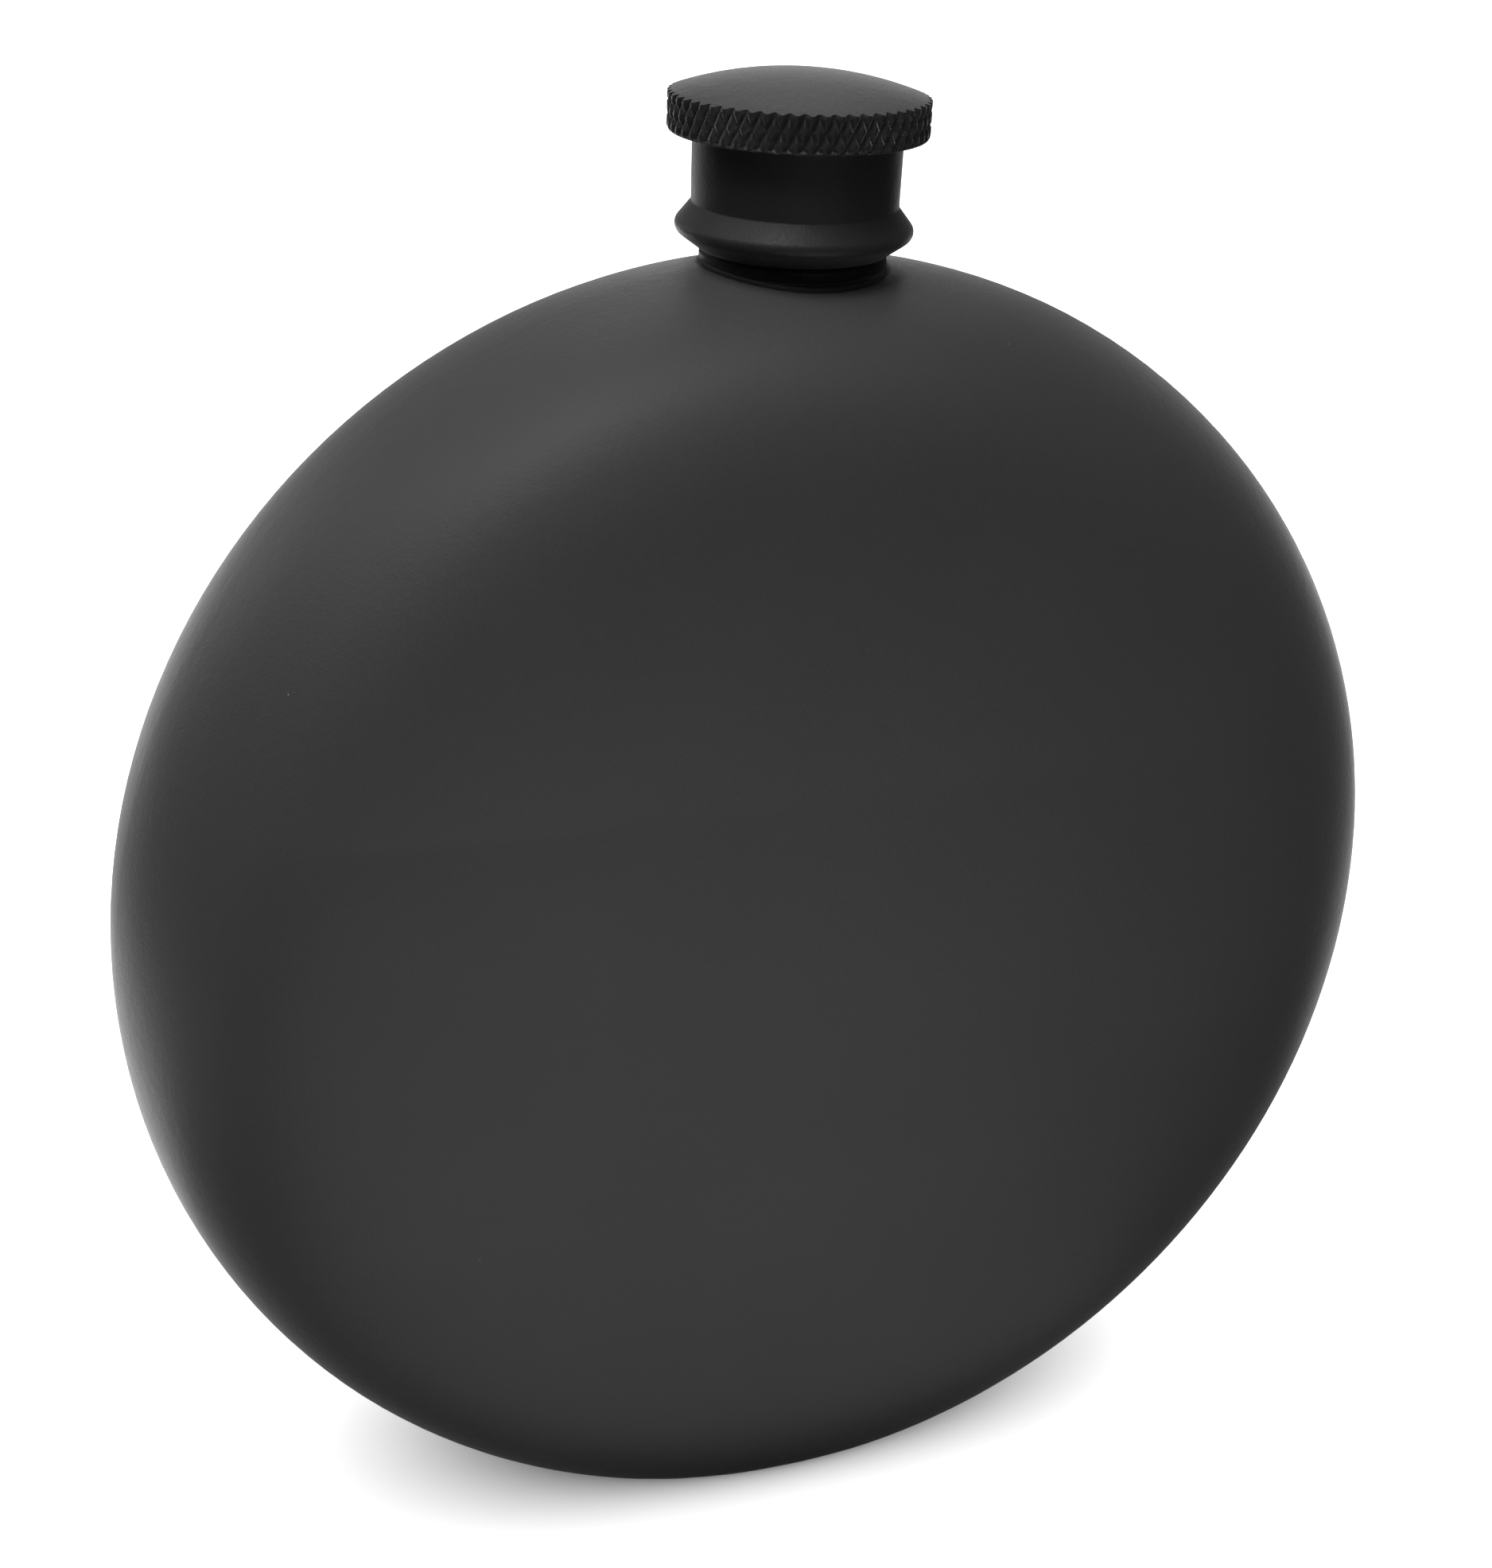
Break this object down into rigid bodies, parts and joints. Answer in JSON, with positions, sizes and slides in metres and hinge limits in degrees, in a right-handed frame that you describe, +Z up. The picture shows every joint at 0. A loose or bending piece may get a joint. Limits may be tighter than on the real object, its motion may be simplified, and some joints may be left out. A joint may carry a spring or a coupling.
{
  "type": "hip flask",
  "caption": "Round pebble-shaped hip flask that stands on a small flat, with a knurled spool-shaped screw cap that unscrews and lifts clear of the spout.",
  "frame": {"origin": "middle of the small flat that the flask stands on", "axes": "+Z up through the spout, front face towards -Y, +X to the right seen from the front"},
  "size_m": [0.102, 0.034, 0.1111],
  "materials": {
    "body_coat": "matte fine-textured black powder coat with a soft sheen",
    "cap_coat": "matte black powder coat over turned and diamond-knurled metal",
    "spout_steel": "bare turned stainless steel thread and lip, with the collar coated black",
    "insert_plastic": "moulded black polypropylene",
    "gasket_silicone": "translucent pale silicone"
  },
  "bodies": {
    "flask": {"front_shell": "body_coat", "rear_shell": "body_coat", "seam_weld": "body_coat", "neck": "spout_steel", "neck_weld": "body_coat"},
    "gasket": {"cap_gasket": "gasket_silicone"},
    "cap": {"cap_shell": "cap_coat", "cap_thread_insert": "insert_plastic"}
  },
  "joints": [
    {"name": "cap_rise", "type": "slide", "parent": "flask", "child": "gasket", "axis": [0, 0, 1], "range_m": [0, 0.01]},
    {"name": "cap_turn", "type": "hinge", "parent": "gasket", "child": "cap", "pos_m": [0, 0, 0.1033], "axis": [0, 0, 1], "range_deg": [0, 1800]}
  ],
  "couplings": [
    {"joint": "cap_rise", "follows": "cap_turn", "m_per_rad": 0.00031831}
  ]
}
